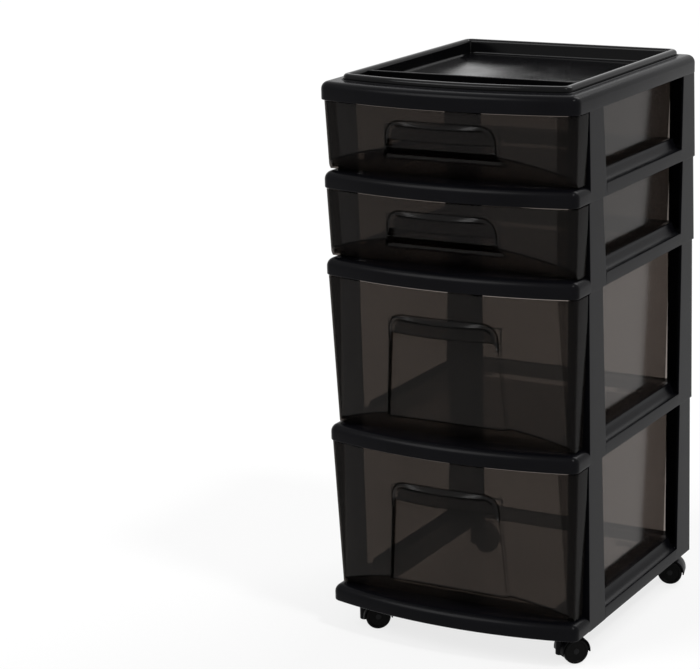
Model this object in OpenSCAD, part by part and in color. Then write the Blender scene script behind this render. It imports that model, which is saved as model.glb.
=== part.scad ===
/* [Tower] */
// Width over the side rails of the frames
tower_w = 318; // [306:1:336]
// Depth of a frame from the middle of its bowed front to its back
tower_d = 370; // [356:1:396]
// How far the middle of the bowed front stands ahead of its corners
bow = 20; // [15:1:23]
// Radius of the front corners seen from above
corner_r = 11; // [10.5:0.5:13]
// Height from frame to frame around a deep drawer
deep_pitch = 200; // [180:1:220]
// Height from frame to frame around a shallow drawer
shallow_pitch = 102; // [98:1:116]

/* [Frames] */
// Height of the rounded front rail
rail_h = 20; // [19:0.5:21]
// Depth of the front rail from front to back
rail_depth = 16; // [15:0.5:17]
// Rounding of the upper edge of the front rail
rail_round = 10; // [7:0.5:10]
// Height of the side rails with their hollow flare
side_h = 28; // [27:0.5:30]
// Wall of the frame mouldings
frame_wall = 2.5; // [2.2:0.1:2.8]
// Wall of the posts
post_wall = 3; // [2.9:0.1:3.3]
// Width of a post seen from the front
post_w = 20; // [18:0.5:20.5]
// Width of the rear posts across the back
rear_post_w = 32; // [22:1:36]
// Length of the side flange of a post at its foot
post_flange = 46; // [40:1:52]
// How much shorter the side flange of a post is at its top
post_taper = 8; // [2:1:12]
// How far the top of a post leans in
post_lean = 1.5; // [1:0.1:1.7]
// Distance from the middle of the bowed front back to the front posts
post_back = 59; // [57:1:64]
// How far the top frame stands out over the frames below it
overhang = 1.5; // [0.5:0.25:2]

/* [Drawers] */
// Wall of the drawers
drawer_wall = 2; // [1.8:0.1:2.4]
// Gap between the body of a drawer and the posts beside it
body_gap = 2.5; // [2:0.25:6]
// Lean of the drawer fronts in degrees
front_lean = 2.6; // [2:0.1:3]
// Taper of the sides of the drawer fronts in degrees
front_taper = 2.1; // [1.5:0.1:2.4]
// Half width of the raised face of a pull
pull_half = 64; // [56:1:68]
// Height of the opening and hood of a pull above its lip
pull_h = 22; // [20:0.5:24]
// Radius of the bulging face of a pull
pull_r = 240; // [220:5:280]
// How far the middle of a pull stands out ahead of the frames
pull_out = 1.8; // [1:0.1:2]
// Distance from a shallow drawer's frame above down to its pull's lip
shallow_lip = 36.5; // [34:0.5:38]
// Distance from a deep drawer's frame above down to its pull's lip
deep_lip = 55; // [48:0.5:62]

/* [Tray] */
// Width of the top frame beside the tray
tray_side = 17; // [16:0.5:21]
// Width of the rounded rim of the tray
tray_rim = 10; // [9:0.5:11]
// How far the tray rim stands above the top frame
tray_proud = 7; // [6:0.5:8]
// Depth of the tray from rim to floor
tray_depth = 17; // [14:0.5:20]
// Distance of the tray divider from the middle of the tower to the front
divider_y = 96; // [70:1:110]

/* [Casters] */
// Radius of the caster wheels
wheel_r = 15; // [14:0.5:15.5]
// Width of one caster wheel
wheel_w = 7.5; // [6.5:0.5:8.5]
// Distance from the swivel axis of a caster back to its axle
trail = 15.5; // [15:0.5:17.5]
// Radius of the caster stems
stem_r = 3.5; // [3:0.1:3.7]

/* [Hidden] */
$fn = 64;

// Running clearance of the pins and the slack of a post's tongue in the frame above it.
fit = 0.05;
slack = 0.15;

// Tongue of a post: its thickness, its height in the frame above and its root along the post.
tongue_t = 2.1;
tongue_h = 10;
tongue_root = 12;

half_w = tower_w / 2;
front_y = -tower_d / 2;
back_y = tower_d / 2;
bow_r = (pow(half_w - 9, 2) + bow * bow) / (2 * bow);
bow_y = front_y + bow_r;
post_y = front_y + post_back;
body_half = half_w - post_w - body_gap;
tray_half = half_w - tray_side;

// Lower planes of the five frames. A neck of the caster fills the height below the first.
base_z = 2 * wheel_r + 6;
plane_1 = base_z + deep_pitch;
plane_2 = plane_1 + deep_pitch;
plane_3 = plane_2 + shallow_pitch;
plane_4 = plane_3 + shallow_pitch;
top_h = rail_h + 1;

black = [0.11, 0.11, 0.12];
gloss = [0.05, 0.05, 0.06];
smoke = [0.33, 0.31, 0.30, 0.6];
steel = [0.62, 0.63, 0.65];

// Points of an arc from angle a0 to a1, both measured from the front. It can leave out its ends.
function arc(cx, cy, r, a0, a1, n, skip = 0) = [
    for (i = [skip:n - skip])
        [cx + r * sin(a0 + (a1 - a0) * i / n), cy - r * cos(a0 + (a1 - a0) * i / n)]
];

// Plan with a bowed front and rounded corners. Its back is straight and square unless it has a radius.
function bowed(half, big, small, back, rear) =
    let (cx = half - small, cy = bow_y - sqrt(pow(big - small, 2) - cx * cx), turn = asin(cx / (big - small)))
    concat(
        arc(-cx, cy, small, -90, -turn, 5),
        arc(0, bow_y, big, -turn, turn, 20, 1),
        arc(cx, cy, small, turn, 90, 5),
        rear > 0
            ? concat(
                arc(half - rear, back - rear, rear, 90, 180, 4),
                arc(rear - half, back - rear, rear, 180, 270, 4)
            )
            : [[half, back], [-half, back]]
    );

// The same plan a distance further in. A square back stays where it is.
function inset_plan(s, t) = bowed(
    s[0] - t, s[1] - t, max(s[2] - t, 0.5), s[4] > 0 ? s[3] - t : s[3], s[4] > 0 ? max(s[4] - t, 0.5) : 0
);

// A solid through that plan at a list of levels, each a height and a distance in.
module slab(shape, levels) {
    rings = [for (l = levels) inset_plan(shape, l[1])];
    n = len(rings[0]);
    last = len(levels) - 1;
    polyhedron(
        points = [for (k = [0:last]) for (p = rings[k]) [p[0], p[1], levels[k][0]]],
        faces = concat(
            [[for (i = [0:n - 1]) i]],
            [[for (i = [0:n - 1]) last * n + n - 1 - i]],
            [for (k = [0:last - 1]) for (i = [0:n - 1]) let (j = (i + 1) % n)
                [k * n + i, (k + 1) * n + i, (k + 1) * n + j, k * n + j]]
        )
    );
}

// Levels of a slab with a rounded upper edge.
function rounded(low, top, edge, t) = concat(
    [[low, t]],
    [for (a = [0:22.5:90]) [top - edge + edge * sin(a), t + edge * (1 - cos(a))]]
);

function frame_shape(back) = [half_w, bow_r, corner_r, back, 0];

// The space inside the outline of a frame, a given distance in from it.
module inside(t, low, top) {
    intersection() {
        translate([0, bow_y, low]) cylinder(r = bow_r - t, h = top - low, $fn = 720);
        translate([t - half_w, front_y, low]) cube([tower_w - 2 * t, tower_d / 2, top - low]);
    }
}

// The hollow front rail with the short returns that end at the front posts.
module front_rail() {
    difference() {
        slab(frame_shape(post_y + 0.5), rounded(0, rail_h, rail_round, 0));
        inside(rail_depth, -1, rail_h + 1);
        difference() {
            slab(
                frame_shape(post_y + 1),
                rounded(-1, rail_h - frame_wall, rail_round - frame_wall, frame_wall)
            );
            inside(rail_depth - frame_wall, -2, rail_h);
        }
    }
}

// Section of a side rail: a lip, a hollow flare above it and the ledge that a drawer runs on.
module side_section() {
    flare = side_h / 2;
    difference() {
        polygon([
            [half_w, 0], [half_w, side_h], [half_w + 3 - flare - frame_wall, side_h],
            [half_w + 3 - flare - frame_wall, 0]
        ]);
        translate([half_w + 3, side_h]) circle(r = flare);
        difference() {
            translate([half_w - 40, -1]) square([40 - frame_wall, side_h + 2]);
            translate([half_w + 3, side_h]) circle(r = flare + frame_wall);
        }
    }
}

// The ledges reach this far in from the sides, and 27 mm in from the inner edge of the posts.
ledge_in = half_w - post_w - 27;
ledge_end = half_w - 2;
rear_flange = post_flange - 2;

// Both side rails with their ledges.
module side_rails() {
    y0 = post_y + post_flange;
    y1 = back_y - rear_flange;
    for (s = [0, 1])
        mirror([s, 0, 0]) {
            translate([0, y1 + 1, 0])
                rotate([90, 0, 0])
                    linear_extrude(height = y1 - y0 + 2)
                        side_section();
            translate([ledge_in, post_y + 1, rail_h - frame_wall])
                cube([half_w - 10 - ledge_in, back_y - 2 - post_y, frame_wall]);
            translate([ledge_in, post_y + 1, rail_h - frame_wall])
                cube([ledge_end - ledge_in, post_flange - 1, frame_wall]);
            translate([ledge_in, y1, rail_h - frame_wall])
                cube([ledge_end - ledge_in, rear_flange - 1, frame_wall]);
            translate([ledge_in, post_y + 1, rail_h - 10])
                cube([frame_wall, back_y - 3 - post_y, 9]);
        }
}

// The rear rail, open below.
module rear_rail() {
    translate([1 - half_w, back_y - frame_wall, 0]) cube([tower_w - 2, frame_wall, rail_h]);
    translate([1 - half_w, back_y - 15, rail_h - frame_wall]) cube([tower_w - 2, 15, frame_wall]);
    translate([post_w - half_w, back_y - 15, rail_h - 12]) cube([tower_w - 2 * post_w, frame_wall, 11]);
}

// Outline of a post leaning in toward its top: one flange lies along the side.
module side_flange(h, flange, taper, lean) {
    intersection() {
        rotate([90, 0, 0])
            translate([0, 0, -flange])
                linear_extrude(height = flange)
                    polygon([[0, 0], [-lean, h], [-lean - post_wall, h], [-post_wall, 0]]);
        rotate([90, 0, 90])
            translate([0, 0, -20])
                linear_extrude(height = 40)
                    polygon([[0, 0], [0, h], [flange - taper, h], [flange, 0]]);
    }
}

// The other flange lies across the corner. It leans with the rear wall at a rear post.
module cross_flange(h, wide, lean, lean_y) {
    intersection() {
        rotate([90, 0, 0])
            translate([0, 0, -20])
                linear_extrude(height = 40)
                    polygon([[0, 0], [-lean, h], [-wide, h], [-wide, 0]]);
        rotate([90, 0, 90])
            translate([0, 0, -wide - 1])
                linear_extrude(height = wide + 2)
                    polygon([[0, 0], [lean_y, h], [lean_y + post_wall, h], [post_wall, 0]]);
    }
}

// The tongue on top of a post. Its root overlaps the post and its upper part enters the next frame.
// It stays out of the corner, which is rounded inside the top frame.
module tongue(h, flange, lean, lean_y) {
    low = post_wall + slack;
    start = corner_r / 2;
    reach = flange - 6;
    width = post_w - 3;
    root_z = h - tongue_root;
    rise = tongue_root + tongue_h;
    translate([-low - tongue_t, start, root_z]) cube([tongue_t, reach - start, rise]);
    translate([-width, low, root_z]) cube([width - start, tongue_t, rise]);
    translate([-low - tongue_t, low, root_z]) cube([low + tongue_t - lean - 2, reach - low, tongue_root]);
    translate([-width, lean_y + 1.5, root_z]) cube([width - low - 0.5, low + 0.5 - lean_y, tongue_root]);
}

// One post with its tongue, drawn at the right-hand front with its outer corner at the origin.
module post(h, flange, rear) {
    lean_y = rear ? post_lean : 0;
    side_flange(h, flange, post_taper, post_lean);
    cross_flange(h, rear ? rear_post_w : post_w, post_lean, lean_y);
    tongue(h, flange - post_taper, post_lean, lean_y);
}

// The four posts of a tier.
module posts(h) {
    for (s = [0, 1])
        mirror([s, 0, 0]) {
            translate([half_w, post_y, 0]) post(h, post_flange, false);
            translate([half_w, back_y, 0]) mirror([0, 1, 0]) post(h, rear_flange, true);
        }
}

// The plate behind the front rail, with a rib along its rear edge.
module front_plate() {
    intersection() {
        inside(rail_depth - 1, rail_h - frame_wall, rail_h);
        translate([-half_w, front_y, 0]) cube([tower_w, post_back + 6, rail_h]);
    }
    translate([-ledge_in - 1, post_y + 4, rail_h - 10]) cube([2 * ledge_in + 2, frame_wall, 9]);
}

// A frame with the posts that carry the next one.
module tier(h) {
    front_rail();
    front_plate();
    side_rails();
    rear_rail();
    posts(h);
}

stem_x = half_w - 30.5;
stem_front = front_y + 43.5;
stem_rear = back_y - 28;
boss_r = stem_r + 4;
seat_h = rail_h - 4;

// Bosses and ribs under the corners of the lowest frame.
module boss(y) {
    translate([stem_x, y, 0]) cylinder(r = boss_r, h = rail_h);
    translate([ledge_in + 1, y - 1.25, 3]) cube([stem_x - ledge_in, 2.5, rail_h - 4]);
    translate([stem_x, y - 1.25, 3]) cube([half_w - rail_depth + 1 - stem_x, 2.5, rail_h - 4]);
    translate([stem_x - 1.25, y - 14, 3]) cube([2.5, 28, rail_h - 4]);
}

module boss_bore(y) {
    translate([stem_x, y, -1]) cylinder(r = stem_r + fit, h = rail_h + 2);
    translate([stem_x, y, seat_h]) cylinder(r = stem_r + 2.3, h = rail_h);
}

module base_frame() {
    color(black)
        translate([0, 0, base_z])
            difference() {
                union() {
                    tier(deep_pitch);
                    for (s = [0, 1])
                        mirror([s, 0, 0]) {
                            boss(stem_front);
                            boss(stem_rear);
                        }
                }
                for (s = [0, 1])
                    mirror([s, 0, 0]) {
                        boss_bore(stem_front);
                        boss_bore(stem_rear);
                    }
            }
}

module tier_frame_1() {
    color(black) translate([0, 0, plane_1]) tier(deep_pitch);
}

module tier_frame_2() {
    color(black) translate([0, 0, plane_2]) tier(shallow_pitch);
}

module tier_frame_3() {
    color(black) translate([0, 0, plane_3]) tier(shallow_pitch);
}

top_shape = [half_w, bow_r, corner_r, back_y, corner_r];
tray_shape = [tray_half, bow_r - 22, 12, back_y - 10, 12];
tray_open = tray_rim - 2.5;

// A flat ring that follows the tray, between two distances in from its outer edge.
module tray_ring(t0, t1, low, top) {
    difference() {
        slab(tray_shape, [[low, t0], [top, t0]]);
        slab(tray_shape, [[low - 1, t1], [top + 1, t1]]);
    }
}

// The seats under the top frame that its posts stand in.
module seats() {
    seat_top = top_h - frame_wall + 0.5;
    for (s = [0, 1])
        mirror([s, 0, 0]) {
            translate([half_w - post_wall, post_y, 0]) cube([post_wall, post_flange, seat_top]);
            translate([half_w - post_w, post_y, 0]) cube([post_w, post_wall, seat_top]);
            translate([half_w - post_wall, back_y - rear_flange, 0])
                cube([post_wall, rear_flange - 6, seat_top]);
            translate([half_w - post_w, back_y - post_wall, 0]) cube([post_w - 6, post_wall, seat_top]);
        }
}

module top_frame() {
    edge = rail_round - 1;
    color(black)
        translate([0, 0, plane_4])
            difference() {
                union() {
                    difference() {
                        slab(top_shape, rounded(0, top_h, edge, -overhang));
                        slab(
                            top_shape,
                            rounded(-1, top_h - frame_wall, edge - frame_wall, frame_wall - overhang)
                        );
                    }
                    seats();
                    tray_ring(-3.2, tray_open - 1, top_h - 6, top_h - 1);
                    tray_ring(-2.2, -0.9, top_h - 1, top_h + 0.7);
                }
                slab(tray_shape, [[top_h - 2, -0.5], [top_h + 2, -0.5]]);
                slab(tray_shape, [[top_h - 10, tray_open], [top_h, tray_open]]);
            }
}

// The drop-in tray: a rounded rim, a pan below it and one divider.
module top_tray() {
    rim_top = plane_4 + top_h + tray_proud;
    floor_top = rim_top - tray_depth;
    foot = plane_4 + top_h - 2;
    edge = tray_rim / 2 - 0.5;
    inner = tray_rim - 2;
    color(gloss)
        difference() {
            union() {
                slab(tray_shape, rounded(foot, rim_top, edge, 0));
                slab(tray_shape, [[floor_top - 2, inner + 1], [rim_top - edge, inner]]);
            }
            difference() {
                slab(tray_shape, [[foot - 1, 2.2], [rim_top - edge, 2.4], [rim_top - 2.2, 3.6]]);
                slab(tray_shape, [[floor_top - 3, inner + 1], [rim_top, inner]]);
            }
            difference() {
                slab(
                    tray_shape,
                    concat(
                        [[floor_top, tray_rim + 1.5]],
                        [for (a = [0:22.5:90])
                            [rim_top - edge + edge * sin(a), tray_rim - edge * (1 - cos(a))]],
                        [[rim_top + 1, tray_rim - edge]]
                    )
                );
                translate([-half_w, -divider_y - 1.2, floor_top - 1]) cube([tower_w, 2.4, tray_depth - 1]);
            }
        }
}

// The head of a drawer as a solid between two heights, leaning back and narrower below.
module head_solid(high, z0, z1, inset) {
    hull()
        for (z = [z0, z1]) {
            back = (high - z) * tan(front_lean);
            half = half_w - 1.5 - (high - z) * tan(front_taper) - inset;
            translate([0, back, z])
                linear_extrude(height = 0.01)
                    polygon(bowed(half, bow_r - 3 - inset, 8 - inset, post_y - 3 - inset - back, 0));
        }
}

// The body behind the head, between the posts. It is a little smaller below.
chin_back = 35;
module body_solid(z0, z1, inset) {
    start = front_y + chin_back;
    hull() {
        translate([inset - body_half, start, z1 - 0.01])
            cube([2 * (body_half - inset), back_y - 17 - inset - start, 0.01]);
        translate([inset - body_half + 2, start, z0])
            cube([2 * (body_half - inset) - 4, back_y - 20 - inset - start, 0.01]);
    }
}

// Everything below the slanting chin of a drawer front, which starts at its straight lower edge.
chin_rise = 1.25;
module chin(z, shift) {
    lift = shift * sqrt(1 + chin_rise * chin_rise);
    y = front_y + chin_back;
    reach = 10 / chin_rise;
    rotate([90, 0, 90])
        translate([0, 0, -tower_w])
            linear_extrude(height = 2 * tower_w)
                polygon([
                    [y + 0.02, z + lift - 0.02], [y - 60, z + lift + 60 * chin_rise], [y - 60, z - 10],
                    [y + reach, z - 10], [y + reach, z + lift - 10]
                ]);
}

// The shallow flat scoop under a pull, as the space ahead of it, grown by a wall. It leans with the
// front from its foot on the chin up to a bend below the lip, and goes on behind the hood.
scoop_foot = 18.5;
scoop_bend = 15;
scoop_head = 17;
module scoop(z, lip, top, grow) {
    foot_z = z + chin_rise * (chin_back - scoop_foot);
    bend = lip - 12;
    wide = pull_half + 11 + grow;
    narrow = pull_half + 4 + grow;
    intersection() {
        rotate([90, 0, 90])
            translate([0, 0, -100])
                linear_extrude(height = 200)
                    polygon([
                        [front_y - 20, z - 30], [front_y + scoop_foot + grow, z - 30],
                        [front_y + scoop_foot + grow, foot_z], [front_y + scoop_bend + grow, bend],
                        [front_y + scoop_head + grow, top + grow], [front_y - 20, top + grow]
                    ]);
        rotate([90, 0, 0])
            translate([0, 0, -front_y - 50])
                linear_extrude(height = 100)
                    polygon([
                        [-wide, z - 30], [-wide, foot_z], [-narrow, bend], [-narrow, top + grow],
                        [narrow, top + grow], [narrow, bend], [wide, foot_z], [wide, z - 30]
                    ]);
    }
}

// A plate seen from the front with two rounded upper corners.
module arch_plate(half, low, top, r) {
    rotate([90, 0, 0])
        translate([0, 0, -front_y - 22])
            linear_extrude(height = 60)
                hull() {
                    for (s = [-1, 1])
                        translate([s * (half - r), top - r]) circle(r = r, $fn = 32);
                    translate([-half, low]) square([2 * half, 1]);
                }
}

// What lies behind the bulging face of a pull, a distance in from it.
module bulge(low, high, inset) {
    r = pull_r - inset;
    cy = front_y - pull_out + pull_r;
    turn = asin((pull_half + 6) / r);
    translate([0, 0, low])
        linear_extrude(height = high - low)
            polygon(concat(
                arc(0, cy, r, -turn, turn, 14),
                [[pull_half + 6, front_y + 30], [-pull_half - 6, front_y + 30]]
            ));
}

// The raised hood of a pull before its finger space is cut.
module hood_solid(high, low, lip) {
    difference() {
        hull() {
            intersection() {
                head_solid(high, low, high, 0.6);
                arch_plate(pull_half + 6, lip - 14, lip + pull_h, 18);
            }
            intersection() {
                bulge(lip - 1, lip + pull_h, 0);
                arch_plate(pull_half, lip, lip + pull_h - 6, 13);
            }
        }
        rotate([90, 0, 90])
            translate([0, 0, -100])
                linear_extrude(height = 200)
                    polygon([
                        [front_y - 30, lip], [front_y - 2, lip], [front_y + 15, lip - 14],
                        [front_y + 15, lip - 40], [front_y - 30, lip - 40]
                    ]);
    }
}

// One drawer over the lower plane of its frame: shell, pull, skids and stops.
module drawer(pitch, lip_drop) {
    low = rail_h + 1;
    high = pitch - 1.5;
    lip = pitch - lip_drop;
    pocket_top = lip + pull_h - 8;
    color(smoke)
        difference() {
            union() {
                difference() {
                    union() {
                        difference() {
                            head_solid(high, low, high - 0.01, 0);
                            chin(low, 0);
                        }
                        body_solid(low, high, 0);
                        hood_solid(high, low, lip);
                    }
                    difference() {
                        union() {
                            head_solid(high, low + drawer_wall, high + 1, drawer_wall);
                            body_solid(low + drawer_wall, high + 1, drawer_wall);
                        }
                        chin(low, drawer_wall);
                        scoop(low, lip, pocket_top, drawer_wall);
                    }
                }
                for (s = [0, 1])
                    mirror([s, 0, 0]) {
                        translate([ledge_in + 4, post_y + 16, low - 1])
                            cube([7, back_y - 35 - post_y - 16, 1.5]);
                        translate([85, back_y - 61, low - 7]) cube([20, 3, 8]);
                    }
            }
            intersection() {
                scoop(low, lip, pocket_top, 0);
                translate([-half_w, front_y - 30, low - 20]) cube([tower_w, 80, lip - low + 20]);
            }
            intersection() {
                scoop(low, lip, pocket_top, 0);
                bulge(lip - 1, pocket_top, drawer_wall + 0.5);
                arch_plate(pull_half - 2, lip - 1, pocket_top, 10);
            }
        }
}

module drawer_1() {
    translate([0, 0, plane_3]) drawer(shallow_pitch, shallow_lip);
}

module drawer_2() {
    translate([0, 0, plane_2]) drawer(shallow_pitch, shallow_lip);
}

module drawer_3() {
    translate([0, 0, plane_1]) drawer(deep_pitch, deep_lip);
}

module drawer_4() {
    translate([0, 0, base_z]) drawer(deep_pitch, deep_lip);
}

// Puts a caster piece under one corner, turned to the way it trails.
module at_corner(sx, y, turn) {
    translate([sx * stem_x, y, 0]) rotate([0, 0, turn]) children();
}

module front_left() {
    at_corner(-1, stem_front, 37) children();
}

module front_right() {
    at_corner(1, stem_front, 48) children();
}

module rear_left() {
    at_corner(-1, stem_rear, 30) children();
}

module rear_right() {
    at_corner(1, stem_rear, 16) children();
}

neck_low = 10;
axle_r = 2.5;
wheel_in = stem_r + 2.2;
wheel_out = wheel_in + wheel_w;

// Steel stem with a groove for its ring.
module stem() {
    color(steel)
        difference() {
            translate([0, 0, neck_low + 2]) cylinder(r = stem_r, h = base_z + rail_h - 1 - neck_low - 2);
            translate([0, 0, base_z + seat_h])
                difference() {
                    cylinder(r = stem_r + 1, h = 1.2);
                    translate([0, 0, -1]) cylinder(r = stem_r - 0.6, h = 4);
                }
        }
}

// Split ring that holds the stem in its boss.
module ring() {
    color(steel)
        translate([0, 0, base_z + seat_h])
            difference() {
                cylinder(r = stem_r + 1.6, h = 1);
                translate([0, 0, -1]) cylinder(r = stem_r - 0.6 + fit, h = 3);
                translate([-0.8, 0, -1]) cube([1.6, 10, 3]);
            }
}

// Hood over the two wheels, with the neck for the stem and the web that holds the axle.
module hood() {
    arch = wheel_r + 1;
    color(black)
        difference() {
            union() {
                translate([trail, 0, wheel_r])
                    rotate([90, 0, 0])
                        difference() {
                            cylinder(r = arch + 1.6, h = 2 * wheel_out, center = true);
                            cylinder(r = arch, h = 2 * wheel_out + 2, center = true);
                            translate([-40, -42, -30]) cube([80, 40, 60]);
                        }
                translate([0, 0, neck_low]) cylinder(r = wheel_in - 0.6, h = base_z - neck_low);
                intersection() {
                    translate([trail, 0, wheel_r])
                        rotate([90, 0, 0])
                            cylinder(r = arch + 0.9, h = 4.6, center = true);
                    translate([0, -10, 5]) cube([2 * trail + 10, 20, 40]);
                }
                translate([trail, 0, wheel_r])
                    rotate([90, 0, 0])
                        cylinder(r = 5, h = 2 * wheel_in - 0.2, center = true);
            }
            translate([0, 0, neck_low + 2]) cylinder(r = stem_r + fit, h = base_z);
            translate([trail, 0, wheel_r])
                rotate([90, 0, 0])
                    cylinder(r = axle_r + 0.02, h = 40, center = true);
        }
}

// Axle with a flat head at each end.
module axle() {
    color(steel)
        translate([trail, 0, wheel_r])
            rotate([90, 0, 0]) {
                cylinder(r = axle_r, h = 2 * wheel_out - 1.4, center = true);
                for (s = [0, 1])
                    mirror([0, 0, s])
                        translate([0, 0, wheel_out - 1.3]) cylinder(r = axle_r + 1, h = 0.8);
            }
}

// One wheel: a tread with eased edges, a dished outer face and a hollow inner face.
module wheel(side) {
    color(black)
        translate([trail, 0, wheel_r])
            mirror([0, side, 0])
                rotate([90, 0, 0])
                    rotate_extrude()
                        polygon([
                            [axle_r + fit, wheel_in], [5.5, wheel_in], [5.5, wheel_out - 3.5],
                            [wheel_r - 3, wheel_out - 3.5], [wheel_r - 3, wheel_in + 0.5],
                            [wheel_r - 0.8, wheel_in + 0.5], [wheel_r, wheel_in + 1.3],
                            [wheel_r, wheel_out - 1.4], [wheel_r - 0.4, wheel_out - 0.4],
                            [wheel_r - 1.4, wheel_out], [wheel_r - 3, wheel_out],
                            [wheel_r - 3.6, wheel_out - 1], [6, wheel_out - 1.4],
                            [5.4, wheel_out - 1.4], [axle_r + fit, wheel_out - 1.4]
                        ]);
}

top_tray();
top_frame();
tier_frame_3();
tier_frame_2();
tier_frame_1();
base_frame();
drawer_1();
drawer_2();
drawer_3();
drawer_4();
front_left() stem();  // stem_front_left
front_right() stem();  // stem_front_right
rear_left() stem();  // stem_rear_left
rear_right() stem();  // stem_rear_right
front_left() ring();  // ring_front_left
front_right() ring();  // ring_front_right
rear_left() ring();  // ring_rear_left
rear_right() ring();  // ring_rear_right
front_left() hood();  // hood_front_left
front_right() hood();  // hood_front_right
rear_left() hood();  // hood_rear_left
rear_right() hood();  // hood_rear_right
front_left() axle();  // axle_front_left
front_right() axle();  // axle_front_right
rear_left() axle();  // axle_rear_left
rear_right() axle();  // axle_rear_right
front_left() wheel(0);  // wheel_front_left_a
front_left() wheel(1);  // wheel_front_left_b
front_right() wheel(0);  // wheel_front_right_a
front_right() wheel(1);  // wheel_front_right_b
rear_left() wheel(0);  // wheel_rear_left_a
rear_left() wheel(1);  // wheel_rear_left_b
rear_right() wheel(0);  // wheel_rear_right_a
rear_right() wheel(1);  // wheel_rear_right_b
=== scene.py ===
import math

import bmesh
import bpy
from mathutils import Matrix, Vector


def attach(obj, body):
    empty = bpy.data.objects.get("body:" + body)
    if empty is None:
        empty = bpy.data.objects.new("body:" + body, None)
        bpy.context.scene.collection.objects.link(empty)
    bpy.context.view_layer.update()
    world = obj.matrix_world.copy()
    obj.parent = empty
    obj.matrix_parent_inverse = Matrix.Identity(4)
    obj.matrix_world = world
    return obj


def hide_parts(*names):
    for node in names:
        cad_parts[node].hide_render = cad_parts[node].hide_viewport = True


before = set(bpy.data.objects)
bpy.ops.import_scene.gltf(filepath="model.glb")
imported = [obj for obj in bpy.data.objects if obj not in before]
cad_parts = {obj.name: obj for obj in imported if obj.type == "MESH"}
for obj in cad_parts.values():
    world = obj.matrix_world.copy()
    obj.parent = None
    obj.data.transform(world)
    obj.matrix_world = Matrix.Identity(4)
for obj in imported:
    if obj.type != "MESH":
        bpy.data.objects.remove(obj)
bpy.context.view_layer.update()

MM = 0.001

# Light: the level of the surroundings and of each lamp, with its direction and its angle across.
WORLD_LIGHT = 0.30
FLOOR_WHITE = 0.78
LAMPS = [
    ("key", (-0.55, -0.75, 0.9), 0.42, 30),
    ("side", (0.55, -0.19, 0.83), 0.30, 8),
    ("top", (0.24, 0.70, 0.75), 0.45, 34),
]

# Frames, in millimetres.
HALF_W = 159.0
FRONT_Y = -185.0
BACK_Y = 185.0
BOW = 20.0
BOW_R = ((HALF_W - 9) ** 2 + BOW**2) / (2 * BOW)
BOW_Y = FRONT_Y + BOW_R
CORNER_R = 11.0
RAIL_H = 20.0
RAIL_DEPTH = 16.0
RAIL_ROUND = 10.0
SIDE_H = 28.0
WALL = 2.5
POST_WALL = 3.0
POST_W = 20.0
REAR_POST_W = 32.0
POST_FLANGE = 46.0
REAR_FLANGE = POST_FLANGE - 2
POST_TAPER = 8.0
POST_LEAN = 1.5
POST_Y = FRONT_Y + 59
LEDGE_IN = HALF_W - 47
OVERHANG = 1.5
TOP_H = RAIL_H + 1

# Drawers.
LEAN = math.tan(math.radians(2.6))
PULL_HALF = 64.0
PULL_H = 22.0
PULL_R = 240.0
CHIN_BACK = 35.0

# Tray.
TRAY_HALF = 142.0
TRAY_RIM = 10.0
TRAY_PROUD = 7.0
TRAY_DEPTH = 17.0
DIVIDER_Y = -96.0

# Casters.
WHEEL_R = 15.0
WHEEL_W = 7.5
TRAIL = 15.5
STEM_R = 3.5
WHEEL_IN = STEM_R + 2.2
WHEEL_OUT = WHEEL_IN + WHEEL_W
ARCH_R = WHEEL_R + 1
NECK_LOW = 10.0

# Lower planes of the frames and the height up to the next one.
BASE_Z = 2 * WHEEL_R + 6
DEEP = 200.0
SHALLOW = 102.0
TIERS = [
    ("base_frame", BASE_Z, DEEP),
    ("tier_frame_1", BASE_Z + DEEP, DEEP),
    ("tier_frame_2", BASE_Z + 2 * DEEP, SHALLOW),
    ("tier_frame_3", BASE_Z + 2 * DEEP + SHALLOW, SHALLOW),
]
TOP_Z = BASE_Z + 2 * DEEP + 2 * SHALLOW
DRAWERS = [("drawer_4", 0, 55.0), ("drawer_3", 1, 55.0), ("drawer_2", 2, 36.5), ("drawer_1", 3, 36.5)]
CORNERS = {
    "front_left": (-1, FRONT_Y + 43.5, 37.0),
    "front_right": (1, FRONT_Y + 43.5, 48.0),
    "rear_left": (-1, BACK_Y - 28, 30.0),
    "rear_right": (1, BACK_Y - 28, 16.0),
}
STEM_X = HALF_W - 30.5


# ---------------------------------------------------------------- camera


def make_camera():
    """The photograph's viewpoint: azimuth, elevation and roll in degrees, place in metres."""
    azimuth, elevation, roll = map(math.radians, (29.56, 14.61, 1.34))
    image_width, focal_px = 700, 2402
    data = bpy.data.cameras.new("camera")
    data.sensor_width = 36
    data.sensor_fit = "HORIZONTAL"
    data.lens = focal_px / image_width * data.sensor_width
    data.clip_end = 50
    camera = bpy.data.objects.new("camera", data)
    bpy.context.collection.objects.link(camera)
    level = math.cos(elevation)
    back = Vector((math.sin(azimuth) * level, -math.cos(azimuth) * level, math.sin(elevation)))
    right = Vector((math.cos(azimuth), math.sin(azimuth), 0))
    up = back.cross(right)
    side = right * math.cos(roll) - up * math.sin(roll)
    top = right * math.sin(roll) + up * math.cos(roll)
    turn = Matrix((side, top, back)).transposed().to_4x4()
    camera.matrix_world = Matrix.Translation((1.1999, -2.5027, 1.0689)) @ turn
    bpy.context.scene.camera = camera


# ---------------------------------------------------------------- materials


def new_material(name):
    """An empty node material and a short way to add nodes to it."""
    mat = bpy.data.materials.new(name)
    mat.use_nodes = True
    tree = mat.node_tree
    tree.nodes.clear()

    def add(kind, **values):
        node = tree.nodes.new(kind)
        for key, value in values.items():
            if key in node.inputs:
                node.inputs[key].default_value = value
            else:
                setattr(node, key, value)
        return node

    return mat, tree, add


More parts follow.
